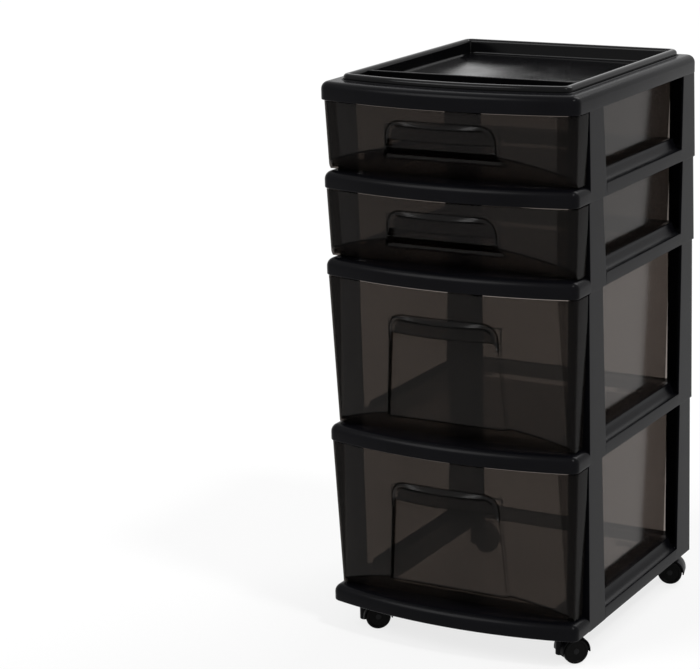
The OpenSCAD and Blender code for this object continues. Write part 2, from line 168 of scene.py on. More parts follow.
def noise_between(tree, add, scale, low, high, detail=3.0):
    """A value that wanders between low and high over the surface."""
    coords = add("ShaderNodeTexCoord")
    noise = add("ShaderNodeTexNoise", Scale=scale, Detail=detail)
    spread = add("ShaderNodeMapRange")
    spread.inputs["From Min"].default_value = 0.3
    spread.inputs["From Max"].default_value = 0.7
    spread.inputs["To Min"].default_value = low
    spread.inputs["To Max"].default_value = high
    tree.links.new(coords.outputs["Object"], noise.inputs["Vector"])
    tree.links.new(noise.outputs["Fac"], spread.inputs["Value"])
    return spread.outputs["Result"], noise.outputs["Fac"]


def moulded(name, dark, light, rough, specular, ior, bump=0.03, grain=900.0, edge=0.6):
    """Opaque moulded plastic: a wandering tone and roughness, a fine grain and eased edges."""
    mat, tree, add = new_material(name)
    out = add("ShaderNodeOutputMaterial")
    shader = add("ShaderNodeBsdfPrincipled")
    shader.inputs["IOR"].default_value = ior
    shader.inputs["Specular IOR Level"].default_value = specular
    tone, _ = noise_between(tree, add, 14.0, 0.0, 1.0)
    mix = add("ShaderNodeMix", data_type="RGBA")
    mix.inputs[6].default_value = (*dark, 1)
    mix.inputs[7].default_value = (*light, 1)
    roughness, _ = noise_between(tree, add, 30.0, rough[0], rough[1])
    _, grains = noise_between(tree, add, grain, 0.0, 1.0, 2.0)
    ease = add("ShaderNodeBevel", samples=6, Radius=edge * MM)
    grained = add("ShaderNodeBump", Strength=bump, Distance=0.0003)
    links = tree.links
    links.new(tone, mix.inputs[0])
    links.new(mix.outputs[2], shader.inputs["Base Color"])
    links.new(roughness, shader.inputs["Roughness"])
    links.new(grains, grained.inputs["Height"])
    links.new(ease.outputs["Normal"], grained.inputs["Normal"])
    links.new(grained.outputs["Normal"], shader.inputs["Normal"])
    links.new(shader.outputs["BSDF"], out.inputs["Surface"])
    return mat


def smoky(name, tint, shade, haze_share, rough, shine_share, slant_shine=0.5):
    """Translucent smoke plastic: each surface tints what is behind it and adds a faint haze and a shine."""
    mat, tree, add = new_material(name)
    out = add("ShaderNodeOutputMaterial")
    through = add("ShaderNodeBsdfTransparent")
    milky = add("ShaderNodeBsdfDiffuse")
    shine = add("ShaderNodeBsdfGlossy")
    facing = add("ShaderNodeLayerWeight", Blend=0.5)
    steep = add("ShaderNodeMath", operation="POWER")
    gloss = add("ShaderNodeMath", operation="MULTIPLY_ADD")
    steep.inputs[1].default_value = 4.0
    gloss.inputs[1].default_value = slant_shine
    gloss.inputs[2].default_value = shine_share
    body = add("ShaderNodeMixShader")
    whole = add("ShaderNodeMixShader")
    mix = add("ShaderNodeMix", data_type="RGBA")
    mix.inputs[6].default_value = (*[c * (1 - shade) for c in tint], 1)
    mix.inputs[7].default_value = (*tint, 1)
    milky.inputs["Color"].default_value = (0.13, 0.115, 0.105, 1)
    cloud, _ = noise_between(tree, add, 5.0, 0.0, 1.0, 1.0)
    roughness, _ = noise_between(tree, add, 8.0, rough[0], rough[1], 1.0)
    veil, _ = noise_between(tree, add, 6.0, haze_share * 0.85, haze_share * 1.15, 1.0)
    links = tree.links
    links.new(cloud, mix.inputs[0])
    links.new(mix.outputs[2], through.inputs["Color"])
    links.new(roughness, shine.inputs["Roughness"])
    links.new(veil, body.inputs["Fac"])
    links.new(through.outputs["BSDF"], body.inputs[1])
    links.new(milky.outputs["BSDF"], body.inputs[2])
    links.new(facing.outputs["Facing"], steep.inputs[0])
    links.new(steep.outputs["Value"], gloss.inputs[0])
    links.new(gloss.outputs["Value"], whole.inputs["Fac"])
    links.new(body.outputs["Shader"], whole.inputs[1])
    links.new(shine.outputs["BSDF"], whole.inputs[2])
    links.new(whole.outputs["Shader"], out.inputs["Surface"])
    return mat


def zinc(name):
    """Zinc-plated steel of the stems, rings and axles."""
    mat, tree, add = new_material(name)
    out = add("ShaderNodeOutputMaterial")
    shader = add("ShaderNodeBsdfPrincipled", Metallic=1.0)
    tone, _ = noise_between(tree, add, 200.0, 0.0, 1.0)
    mix = add("ShaderNodeMix", data_type="RGBA")
    mix.inputs[6].default_value = (0.50, 0.51, 0.52, 1)
    mix.inputs[7].default_value = (0.62, 0.62, 0.60, 1)
    roughness, _ = noise_between(tree, add, 400.0, 0.25, 0.4)
    tree.links.new(tone, mix.inputs[0])
    tree.links.new(mix.outputs[2], shader.inputs["Base Color"])
    tree.links.new(roughness, shader.inputs["Roughness"])
    tree.links.new(shader.outputs["BSDF"], out.inputs["Surface"])
    return mat


# Name, dark and light tone, least and greatest roughness, specular level and index.
FRAME_BLACK = moulded(
    "frame_black", (0.0020, 0.0020, 0.0027), (0.0032, 0.0032, 0.0042), (0.22, 0.27), 0.6, 1.12
)
TRAY_GLOSS = moulded(
    "tray_gloss", (0.0020, 0.0020, 0.0024), (0.0032, 0.0032, 0.0036), (0.08, 0.12), 0.4, 1.22, bump=0.01
)
CASTER_BLACK = moulded(
    "caster_black", (0.0020, 0.0020, 0.0025), (0.0030, 0.0030, 0.0035), (0.34, 0.44), 0.6, 1.12
)
WHEEL_BLACK = moulded("wheel_black", (0.002, 0.002, 0.002), (0.003, 0.003, 0.003), (0.42, 0.55), 0.6, 1.12)
AXLE_BLACK = moulded("axle_black", (0.003, 0.003, 0.0035), (0.005, 0.005, 0.0055), (0.38, 0.48), 1.0, 1.14)
ZINC = zinc("steel")

# Name, tint of each surface, how far it wanders, haze, roughness, shine seen straight on and at a slant.
SMOKE_BODY = smoky("smoke_body", (0.506, 0.479, 0.461), 0.03, 0.03, (0.15, 0.18), 0.003)
SMOKE_SHALLOW = smoky("smoke_shallow", (0.360, 0.338, 0.322), 0.03, 0.03, (0.15, 0.18), 0.003)
SMOKE_FRONT = smoky("smoke_front", (0.355, 0.330, 0.310), 0.05, 0.05, (0.12, 0.18), 0.008)
# Painted shade: a near-black tint for the narrow rounds along the creases of the front, standing in for the
# dark lines that light leaves there.
SMOKE_CREASE_PAINTED_SHADE = smoky("smoke_crease_painted_shade", (0.060, 0.055, 0.050), 0.05, 0.01, (0.15, 0.20), 0.002, 0.15)
# Painted shade: a dark tint for the walls of the scoop and the rim round the pull, standing in for the shade
# in those steps.
SMOKE_RIM_PAINTED_SHADE = smoky("smoke_rim_painted_shade", (0.150, 0.138, 0.128), 0.05, 0.02, (0.15, 0.20), 0.010, 0.3)
# Painted shade: a darker tint on the face of the pull, standing in for the shade of the hollow behind it.
SMOKE_PULL_PAINTED_SHADE = smoky("smoke_pull_painted_shade", (0.290, 0.270, 0.254), 0.05, 0.03, (0.15, 0.20), 0.008, 0.3)
# Painted shade: a darker tint on the side returns of the front, standing in for the shade seen through them;
# its lower shine is gloss alone.
SMOKE_WING_PAINTED_SHADE = smoky("smoke_wing_painted_shade", (0.160, 0.149, 0.141), 0.05, 0.03, (0.15, 0.20), 0.004, 0.2)
SMOKE_INNER = smoky("smoke_inner", (0.355, 0.330, 0.310), 0.05, 0.0, (0.2, 0.25), 0.001)
SMOKE_KINDS = (SMOKE_FRONT, SMOKE_CREASE_PAINTED_SHADE, SMOKE_INNER, SMOKE_RIM_PAINTED_SHADE, SMOKE_PULL_PAINTED_SHADE, SMOKE_WING_PAINTED_SHADE)

# Places of the smoke materials on a drawer: the body's own comes first, the others in the order above.
IN_BODY, IN_FRONT, IN_CREASE_PAINTED_SHADE, IN_INNER, IN_RIM_PAINTED_SHADE, IN_PULL_PAINTED_SHADE, IN_WING_PAINTED_SHADE = range(7)


# ---------------------------------------------------------------- meshes


def mesh_object(name, verts, faces):
    """A mesh object from points in millimetres."""
    data = bpy.data.meshes.new(name)
    data.from_pydata([tuple(c * MM for c in v) for v in verts], [], faces)
    data.update()
    obj = bpy.data.objects.new(name, data)
    bpy.context.collection.objects.link(obj)
    return obj


def outward(obj):
    """Makes the faces of a closed mesh look outward."""
    bm = bmesh.new()
    bm.from_mesh(obj.data)
    bmesh.ops.recalc_face_normals(bm, faces=bm.faces)
    bm.to_mesh(obj.data)
    bm.free()


def loft(name, rings, closed=True, caps=True, looped=False):
    """A skin through rings of equally many points. looped joins the last ring to the first."""
    n = len(rings[0])
    verts = [p for ring in rings for p in ring]
    faces = []
    stacks = len(rings) if looped else len(rings) - 1
    for k in range(stacks):
        a, b = k * n, (k + 1) % len(rings) * n
        for i in range(n if closed else n - 1):
            j = (i + 1) % n
            faces.append((a + i, a + j, b + j, b + i))
    if caps and not looped:
        faces.append(tuple(range(n))[::-1])
        faces.append(tuple((len(rings) - 1) * n + i for i in range(n)))
    obj = mesh_object(name, verts, faces)
    outward(obj)
    return obj


def soften(obj, angle=32.0, bevel=0.0, segments=2):
    """Smooth shading with sharp edges past an angle, and an edge round where one is asked for."""
    for face in obj.data.polygons:
        face.use_smooth = True
    obj.data.set_sharp_from_angle(angle=math.radians(angle))
    if bevel:
        mod = obj.modifiers.new("edges", "BEVEL")
        mod.width = bevel * MM
        mod.segments = segments
        mod.limit_method = "ANGLE"
        mod.angle_limit = math.radians(angle)
        mod.harden_normals = True


def dress(obj, body, mat, slot):
    """Gives a finished piece its material and body; its slot is not used."""
    obj.data.materials.clear()
    obj.data.materials.append(mat)
    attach(obj, body)
    return obj


def box_piece(name, low, high, bevel, body, mat, slot):
    """A bevelled block between two corners in millimetres."""
    ring = [(low[0], low[1]), (high[0], low[1]), (high[0], high[1]), (low[0], high[1])]
    obj = loft(name, [[(x, y, z) for x, y in ring] for z in (low[2], high[2])])
    soften(obj, bevel=bevel)
    return dress(obj, body, mat, slot)


def arc(cx, cy, r, a0, a1, n, skip=0):
    """Points of an arc. Its angles are in degrees from the front toward the right."""
    out = []
    for i in range(skip, n - skip + 1):
        a = math.radians(a0 + (a1 - a0) * i / n)
        out.append((cx + r * math.sin(a), cy - r * math.cos(a)))
    return out


def bowed(half, big, small, back, rear, n_bow=64, n_corner=10):
    """Plan with a bowed front and rounded corners, from the left side round the front to the back."""
    cx = half - small
    cy = BOW_Y - math.sqrt((big - small) ** 2 - cx * cx)
    turn = math.degrees(math.asin(cx / (big - small)))
    pts = arc(-cx, cy, small, -90, -turn, n_corner)
    pts += arc(0, BOW_Y, big, -turn, turn, n_bow, 1)
    pts += arc(cx, cy, small, turn, 90, n_corner)
    if rear > 0:
        pts += arc(half - rear, back - rear, rear, 90, 180, n_corner)
        pts += arc(rear - half, back - rear, rear, 180, 270, n_corner)
    else:
        pts += [(half, back), (-half, back)]
    return pts


def inset_plan(shape, t):
    """The plan a distance further in. A square back stays where it is."""
    half, big, small, back, rear = shape
    if rear > 0:
        return bowed(half - t, big - t, max(small - t, 0.5), back - t, max(rear - t, 0.5))
    return bowed(half - t, big - t, max(small - t, 0.5), back, 0)


def rise(cx, cz, r, a0, a1, n):
    """Arc of a section: pairs of a distance in and a height."""
    out = []
    for i in range(n + 1):
        a = math.radians(a0 + (a1 - a0) * i / n)
        out.append((cx - r * math.cos(a), cz + r * math.sin(a)))
    return out


# ---------------------------------------------------------------- frames


def front_rail(name, z0):
    """The hollow bowed rail with its returns, swept along the front of a frame."""
    foot = 1.8
    edge = 0.7
    top = RAIL_H - 0.03
    section = [(WALL, 0.0)]
    section += rise(foot, foot, foot, -90, 0, 4)
    section += rise(RAIL_ROUND, top - RAIL_ROUND, RAIL_ROUND, 0, 90, 16)
    section += rise(RAIL_DEPTH - edge, top - edge, edge, 90, 180, 3)
    section += [(RAIL_DEPTH, 0), (RAIL_DEPTH - WALL, 0), (RAIL_DEPTH - WALL, top - WALL)]
    section += rise(RAIL_ROUND, top - RAIL_ROUND, RAIL_ROUND - WALL, 90, 0, 8)
    shape = (HALF_W, BOW_R, CORNER_R, POST_Y, 0)
    paths = []
    for t, _ in section:
        pts = inset_plan(shape, t)
        paths.append([(-HALF_W + t, POST_Y + 1.0)] + pts[:-2] + [(HALF_W - t, POST_Y + 1.0)])
    rings = []
    for j in range(len(paths[0])):
        rings.append([(*path[j], z0 + z) for path, (_, z) in zip(paths, section)])
    obj = loft(name, rings)
    soften(obj, 30)
    return dress(obj, "tower", FRAME_BLACK, "frame_black")


def front_plate(name, z0):
    """The flat plate behind the front rail and the rib under its rear edge."""
    top = z0 + RAIL_H - 0.05
    bow = inset_plan((HALF_W, BOW_R, CORNER_R, POST_Y, 0), RAIL_DEPTH - 1)[:-2]
    rear = POST_Y + 6
    pts = bow + [(HALF_W - RAIL_DEPTH + 1, rear), (RAIL_DEPTH - 1 - HALF_W, rear)]
    obj = loft(name, [[(x, y, z) for x, y in pts] for z in (top - WALL, top)])
    soften(obj, 30)
    dress(obj, "tower", FRAME_BLACK, "frame_black")
    box_piece(
        name + "_rib",
        (-LEDGE_IN - 1, rear - WALL, z0 + RAIL_H - 10),
        (LEDGE_IN + 1, rear, top - 1),
        0.5,
        "tower",
        FRAME_BLACK,
        "frame_black",
    )


def side_rail(name, z0, s):
    """One side rail: a lip, a hollow flare above it and the ledge inside."""
    radius = SIDE_H / 2
    cx, cz = HALF_W + 3, SIDE_H
    lip = cz - math.sqrt(radius**2 - 9)
    section = [(HALF_W - WALL, 0), (HALF_W - 0.8, 0), (HALF_W, 0.8), (HALF_W, lip - 0.9)]
    section += [(HALF_W - 0.25, lip + 0.3)]
    start = math.degrees(math.acos((3.9) / radius))
    for i in range(17):
        a = math.radians(start + (4.0 - start) * i / 16)
        section.append((cx - radius * math.cos(a), cz - radius * math.sin(a)))
    top = cx - radius
    section += [(top - 0.3, cz - 0.25), (top - 0.9, cz), (top - WALL + 0.6, cz), (top - WALL, cz - 0.6)]
    end = math.degrees(math.acos((3 + WALL) / (radius + WALL)))
    for i in range(1, 13):
        a = math.radians(end * i / 12)
        section.append((cx - (radius + WALL) * math.cos(a), cz - (radius + WALL) * math.sin(a)))
    y0, y1 = POST_Y + POST_FLANGE - 1, BACK_Y - REAR_FLANGE + 1
    rings = [[(s * x, y, z0 + z) for x, z in section] for y in (y0, y1)]
    obj = loft(name, rings)
    soften(obj, 30)
    dress(obj, "tower", FRAME_BLACK, "frame_black")
    top_z = z0 + RAIL_H - 0.03
    span = sorted((s * LEDGE_IN, s * (HALF_W - 10)))
    side = ("tower", FRAME_BLACK, "frame_black")
    low, high = (span[0], POST_Y + 2, top_z - WALL), (span[1], BACK_Y - 2, top_z)
    box_piece(name + "_ledge", low, high, 0.4, *side)
    span = sorted((s * LEDGE_IN, s * (LEDGE_IN + WALL)))
    low, high = (span[0], POST_Y + 2, z0 + RAIL_H - 10), (span[1], BACK_Y - 3, top_z - 1)
    box_piece(name + "_turn", low, high, 0.5, *side)
    span = sorted((s * (HALF_W - 11), s * (HALF_W - 2)))
    for tag, a, b in (("front", POST_Y + 2, y0 + 1), ("rear", y1 - 1, BACK_Y - 2)):
        box_piece(name + "_web_" + tag, (span[0], a, top_z - WALL), (span[1], b, top_z), 0.3, *side)


def rear_rail(name, z0):
    """The plain rail across the back, open below."""
    side = ("tower", FRAME_BLACK, "frame_black")
    w = HALF_W - 1
    box_piece(name + "_wall", (-w, BACK_Y - WALL, z0), (w, BACK_Y - 0.02, z0 + RAIL_H), 0.8, *side)
    low, high = (-w, BACK_Y - 15, z0 + RAIL_H - WALL), (w, BACK_Y - 1, z0 + RAIL_H)
    box_piece(name + "_top", low, high, 0.4, *side)
    w = HALF_W - POST_W
    box_piece(name + "_skirt", (-w, BACK_Y - 15, z0 + 8), (w, BACK_Y - 15 + WALL, z0 + 19), 0.4, *side)


def post(name, z0, h, s, rear):
    """One L-shaped post, leaning in and narrowing toward its top."""
    rings = []
    for share in (0.0, 1.0):
        lean = POST_LEAN * share
        flange = (REAR_FLANGE if rear else POST_FLANGE) - POST_TAPER * share
        lean_y = lean if rear else 0.0
        wide = REAR_POST_W if rear else POST_W
        plan = [
            (-lean, lean_y),
            (-lean, flange),
            (-lean - POST_WALL, flange),
            (-lean - POST_WALL, lean_y + POST_WALL),
            (-wide, lean_y + POST_WALL),
            (-wide, lean_y),
        ]
        y0, way = (BACK_Y, -1) if rear else (POST_Y, 1)
        rings.append([(s * (HALF_W + x), y0 + way * y, z0 + h * share) for x, y in plan])
    obj = loft(name, rings)
    soften(obj, 30, bevel=0.7)
    return dress(obj, "tower", FRAME_BLACK, "frame_black")


def make_tier(node, z0, h):
    """A frame and its four posts, in place of one CAD node."""
    first = front_rail(node + "_front", z0)
    front_plate(node + "_plate", z0)
    for s, side in ((1, "right"), (-1, "left")):
        side_rail(node + "_side_" + side, z0, s)
        post(node + "_post_front_" + side, z0, h, s, False)
        post(node + "_post_rear_" + side, z0, h, s, True)
    rear_rail(node + "_rear", z0)
    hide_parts(node)


def make_bosses():
    """The bosses that hold the caster stems under the lowest frame."""
    side = ("tower", FRAME_BLACK, "frame_black")
    for tag, (sx, y, _) in CORNERS.items():
        x = sx * STEM_X
        bore, outside, top = STEM_R + 0.05, STEM_R + 4, RAIL_H - 1
        levels = [(bore, 0), (outside, 0), (outside, top), (bore, top)]
        obj = revolve("boss_" + tag, levels, (x, y, BASE_Z), 40)
        dress(obj, *side)
        span = sorted((sx * (LEDGE_IN + 1), sx * (HALF_W - RAIL_DEPTH + 1)))
        for k, (a, b) in enumerate(((span[0], x - STEM_R - 1), (x + STEM_R + 1, span[1]))):
            low, high = (a, y - 1.25, BASE_Z + 3), (b, y + 1.25, BASE_Z + 19)
            box_piece("boss_rib_%s_%d" % (tag, k), low, high, 0.4, *side)
        for k, (a, b) in enumerate(((y - 14, y - STEM_R - 1), (y + STEM_R + 1, y + 14))):
            low, high = (x - 1.25, a, BASE_Z + 3), (x + 1.25, b, BASE_Z + 19)
            box_piece("boss_web_%s_%d" % (tag, k), low, high, 0.4, *side)


def make_top_frame():
    """The top frame: one skin from its outer edge over the deck and into the seat of the tray."""
    outer = (HALF_W, BOW_R, CORNER_R, BACK_Y, CORNER_R)
    tray = (TRAY_HALF, BOW_R - 22, 12, BACK_Y - 10, 12)
    edge = RAIL_ROUND - 1
    foot = 1.2
    cut = TRAY_RIM - 2.5
    t0 = -OVERHANG
    section = [(outer, t0 + WALL, 0.0)]
    section += [(outer, t0 + t, z) for t, z in rise(foot, foot, foot, -90, 0, 3)]
    section += [(outer, t0 + t, z) for t, z in rise(edge, TOP_H - edge, edge, 0, 90, 16)]
    section += [(tray, -2.6, TOP_H), (tray, -2.2, TOP_H + 0.3), (tray, -1.9, TOP_H + 0.65)]
    section += [(tray, -1.2, TOP_H + 0.65), (tray, -0.95, TOP_H + 0.3), (tray, -0.9, TOP_H - 0.2)]
    section += [(tray, -0.5, TOP_H - 0.5), (tray, -0.5, TOP_H - 2), (tray, cut, TOP_H - 2)]
    section += [(tray, cut, TOP_H - 6), (tray, -3.2, TOP_H - 6), (tray, -3.2, TOP_H - WALL)]
    section += [(outer, t0 + t, z) for t, z in rise(edge, TOP_H - edge, edge - WALL, 90, 0, 8)]
    rings = [[(x, y, TOP_Z + z) for x, y in inset_plan(shape, t)] for shape, t, z in section]
    obj = loft("top_frame_skin", rings, looped=True)
    soften(obj, 28)
    dress(obj, "tower", FRAME_BLACK, "frame_black")
    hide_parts("top_frame")


def make_tray():
    """The drop-in tray: one skin from under its pan, round the rim and down to its floor."""
    shape = (TRAY_HALF, BOW_R - 22, 12, BACK_Y - 10, 12)
    top = TOP_Z + TOP_H + TRAY_PROUD
    floor = top - TRAY_DEPTH
    foot = TOP_Z + TOP_H - 2
    edge = TRAY_RIM / 2 - 0.5
    inner = TRAY_RIM - 2
    fillet = 2.5
    section = [(inner + 3, floor - 2), (inner + 1, floor - 1), (inner, top - edge), (inner - 1, top - 2.4)]
    section += [(3.6, top - 2.4), (2.4, top - edge), (2.2, foot), (0.3, foot), (0.0, foot + 0.3)]
    section += rise(edge, top - edge, edge, 0, 90, 12)
    section += [(TRAY_RIM - t, z) for t, z in rise(edge, top - edge, edge, 90, 0, 12)]
    section += [(TRAY_RIM + 1.5 + t, z) for t, z in rise(fillet, floor + fillet, fillet, 0, -90, 6)]
    rings = [[(x, y, z) for x, y in inset_plan(shape, t)] for t, z in section]
    obj = loft("tray_skin", rings)
    soften(obj, 30)
    dress(obj, "tower", TRAY_GLOSS, "tray_gloss")
    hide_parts("top_tray")
    half = TRAY_HALF - TRAY_RIM
    low, high = (-half, DIVIDER_Y - 1.2, floor - 0.5), (half, DIVIDER_Y + 1.2, top - 2)
    box_piece("tray_divider", low, high, 0.9, "tower", TRAY_GLOSS, "tray_gloss")


# ---------------------------------------------------------------- drawers


def head_face(high, x, z):
    """Where the outer face of a drawer front stands at a width and a height."""
    r = BOW_R - 3
    return BOW_Y - math.sqrt(r * r - x * x) + (high - z) * LEAN


def moulding(node):
    """A fresh mesh with the shape of a drawer's CAD node, its flat faces whole, in metres."""
    data = bpy.data.meshes.new(node + "_shell")
    bm = bmesh.new()
    bm.from_mesh(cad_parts[node].data)
    bmesh.ops.remove_doubles(bm, verts=bm.verts, dist=0.002 * MM)
    bmesh.ops.dissolve_limit(bm, angle_limit=math.radians(0.3), verts=bm.verts, edges=bm.edges)
    bm.verts.index_update()
    verts = [v.co[:] for v in bm.verts]
    faces = [[v.index for v in f.verts] for f in bm.faces]
    bm.free()
    data.from_pydata(verts, [], faces)
    data.update()
    return data


def paint(data, z0, pitch, drop):
    """Sorts the faces: body, front, scoop walls, inner front, rim and face of the pull, wings. The scoop
    walls, the rim and face of the pull and the wings take darker tints painted on as shade.
    """
    high = pitch - 1.5
    lip = pitch - drop
    for face in data.polygons:
        x, y, z = (c / MM for c in face.center)
        z -= z0
        if y > POST_Y - 2.2:
            face.material_index = IN_BODY
            continue
        face.material_index = IN_FRONT
        out = y < head_face(high, x, z) + 3
        # Scoop walls: dark tint painted on as shade.
        if abs(face.normal.x) > 0.8 and 58 < abs(x) < 82 and z < lip + 1:
            face.material_index = IN_RIM_PAINTED_SHADE
        inner = y > head_face(high, x, z) + 1.2 and abs(x) < HALF_W - 14
        if inner and face.normal.y > 0.5:
            face.material_index = IN_INNER
        # Side returns of the front: darker tint painted on as shade.
        elif abs(x) > HALF_W - 19:
            face.material_index = IN_WING_PAINTED_SHADE
        elif out and abs(x) < PULL_HALF + 7 and lip - 14 < z < lip + PULL_H + 1 and face.normal.y < 0:
            bulging = abs(face.normal.x - x / PULL_R) < 0.07 and abs(face.normal.z) < 0.1
            # Face of the pull: darker tint painted on as shade.
            if bulging and abs(x) < PULL_HALF and z > lip:
                face.material_index = IN_PULL_PAINTED_SHADE
            # Rim round the pull: dark tint painted on as shade.
            elif face.normal.z > 0.12 or abs(face.normal.x - x / BOW_R) > 0.1:
                face.material_index = IN_RIM_PAINTED_SHADE


def crease(data, z0, pitch):
    """Marks the creases of the front, which get a narrow rounded edge of their own, with a near-black tint
    painted on it as shade.
    """
    bm = bmesh.new()
    bm.from_mesh(data)
    weight = bm.edges.layers.float.new("bevel_weight_edge")
    for edge in bm.edges:
        if len(edge.link_faces) != 2 or edge.calc_face_angle() < math.radians(14):
            continue
        x, y, z = (c / MM for c in (edge.verts[0].co + edge.verts[1].co) / 2)
        z -= z0
        outer = y < head_face(pitch - 1.5, x, z) + 18
        if y < FRONT_Y + CHIN_BACK - 1 and abs(x) < HALF_W - 13 and outer and z < pitch - 4:
            edge[weight] = 1.0
    bm.to_mesh(data)
    bm.free()


def make_drawers():
    """The four drawers, each one clear moulding."""
    for node, tier, drop in DRAWERS:
        _, z0, pitch = TIERS[tier]
        data = moulding(node)
        smoke = SMOKE_BODY if pitch == DEEP else SMOKE_SHALLOW
        for mat in (smoke, *SMOKE_KINDS):
            data.materials.append(mat)
        paint(data, z0, pitch, drop)
        crease(data, z0, pitch)
        obj = bpy.data.objects.new(node + "_shell", data)
        bpy.context.collection.objects.link(obj)
        soften(obj, 24)
        # The rounds along the creases take the near-black tint painted on as shade.
        crease_shade_lines = obj.modifiers.new("creases", "BEVEL")
        crease_shade_lines.width = 1.1 * MM
        crease_shade_lines.segments = 2
        crease_shade_lines.limit_method = "WEIGHT"
        crease_shade_lines.material = IN_CREASE_PAINTED_SHADE
        crease_shade_lines.use_clamp_overlap = False
        crease_shade_lines.harden_normals = True
        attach(obj, node + "_body")
        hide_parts(node)


# ---------------------------------------------------------------- casters


def revolve(name, profile, centre, steps, place=None):
    """A closed profile of radius and height turned round the vertical through a centre."""
    rings = []
    for k in range(steps):
        a = 2 * math.pi * k / steps
        rings.append([(r * math.cos(a), r * math.sin(a), z) for r, z in profile])
    obj = loft(name, rings, looped=True)
    if place is None:
        place = Matrix.Translation([c * MM for c in centre])
    obj.data.transform(place)
    soften(obj, 30)
    return obj


def caster_place(sx, y, turn):
    """From a caster's own frame, its swivel axis at the origin, to the tower's."""
    return Matrix.Translation((sx * STEM_X * MM, y * MM, 0)) @ Matrix.Rotation(math.radians(turn), 4, "Z")


def wheel(tag, place, s):
    """One wheel: eased tread, dished outer face and hollow inner face."""
    tread = [(WHEEL_R - 0.8, WHEEL_IN + 0.5), (WHEEL_R - 0.2, WHEEL_IN + 0.8), (WHEEL_R, WHEEL_IN + 1.4)]
    tread += [(WHEEL_R, WHEEL_OUT - 1.6), (WHEEL_R - 0.3, WHEEL_OUT - 0.7), (WHEEL_R - 0.9, WHEEL_OUT - 0.2)]
    face = [(WHEEL_R - 1.6, WHEEL_OUT), (WHEEL_R - 2.8, WHEEL_OUT), (WHEEL_R - 3.2, WHEEL_OUT - 0.3)]
    face += [(WHEEL_R - 3.7, WHEEL_OUT - 1.0), (6.2, WHEEL_OUT - 1.4), (5.2, WHEEL_OUT - 1.4)]
    hub = [(2.56, WHEEL_OUT - 1.4), (2.56, WHEEL_IN), (5.4, WHEEL_IN), (5.4, WHEEL_OUT - 3.5)]
    hollow = [(WHEEL_R - 3, WHEEL_OUT - 3.5), (WHEEL_R - 3, WHEEL_IN + 0.5)]
    axis = Matrix.Translation((TRAIL * MM, 0, WHEEL_R * MM)) @ Matrix.Rotation(math.radians(90 * s), 4, "X")
    return revolve("wheel_piece_" + tag, tread + face + hub + hollow, None, 64, place @ axis)


def hood(tag, place):
    """The hood over both wheels with its neck and web."""
    thick = 1.6
    w = WHEEL_OUT
    section = [(ARCH_R, -w + 0.3), (ARCH_R + 0.3, -w)]
    section += [(ARCH_R + thick - 0.8, -w), (ARCH_R + thick - 0.2, -w + 0.25)]
    section += [(ARCH_R + thick, -w + 0.9), (ARCH_R + thick, w - 0.9), (ARCH_R + thick - 0.2, w - 0.25)]
    section += [(ARCH_R + thick - 0.8, w), (ARCH_R + 0.3, w), (ARCH_R, w - 0.3)]
    rings = []
    for k in range(49):
        a = math.radians(-6 + 192 * k / 48)
        rings.append([(TRAIL + r * math.cos(a), y, WHEEL_R + r * math.sin(a)) for r, y in section])
    arch = loft("hood_arch_" + tag, rings)
    arch.data.transform(place)
    soften(arch, 30)
    out = [arch]
    neck = [(STEM_R + 0.05, BASE_Z), (WHEEL_IN - 1.0, BASE_Z), (WHEEL_IN - 0.6, BASE_Z - 0.4)]
    neck += [(WHEEL_IN - 0.6, NECK_LOW + 0.6), (WHEEL_IN - 1.2, NECK_LOW)]
    neck += [(0.01, NECK_LOW), (0.01, NECK_LOW + 2)]
    neck += [(STEM_R + 0.05, NECK_LOW + 2)]
    out.append(revolve("hood_neck_" + tag, neck, None, 40, place))
    web = [(-1.5, 14.0)]
    for k in range(25):
        a = math.radians(180 - 180 * k / 24)
        r = ARCH_R + 0.8
        web.append((TRAIL + r * math.cos(a), WHEEL_R + r * math.sin(a)))
    web += [(TRAIL + 16, 12.5), (TRAIL + 6, 9.5), (TRAIL, 9), (4, 9.8)]
    plate = loft("hood_web_" + tag, [[(x, y, z) for x, z in web] for y in (-2.3, 2.3)])
    plate.data.transform(place)
    soften(plate, 30, bevel=0.5)
    out.append(plate)
    hub = [(0.02, -WHEEL_IN + 0.1), (5, -WHEEL_IN + 0.1), (5, WHEEL_IN - 0.1), (0.02, WHEEL_IN - 0.1)]
    axis = Matrix.Translation((TRAIL * MM, 0, WHEEL_R * MM)) @ Matrix.Rotation(math.radians(90), 4, "X")
    out.append(revolve("hood_hub_" + tag, hub, None, 32, place @ axis))
    return out


def axle(tag, place):
    """The axle through both wheels, with a flat head at each end."""
    half = WHEEL_OUT - 0.7
    profile = [(0.01, -half + 0.2), (2.2, -half + 0.2), (3.3, -half + 0.35)]
    profile += [(3.5, -half + 0.6), (3.5, -half + 1.0), (2.5, -half + 1.0)]
    profile += [(r, -z) for r, z in profile[::-1]]
    axis = Matrix.Translation((TRAIL * MM, 0, WHEEL_R * MM)) @ Matrix.Rotation(math.radians(90), 4, "X")
    return revolve("axle_piece_" + tag, profile, None, 32, place @ axis)


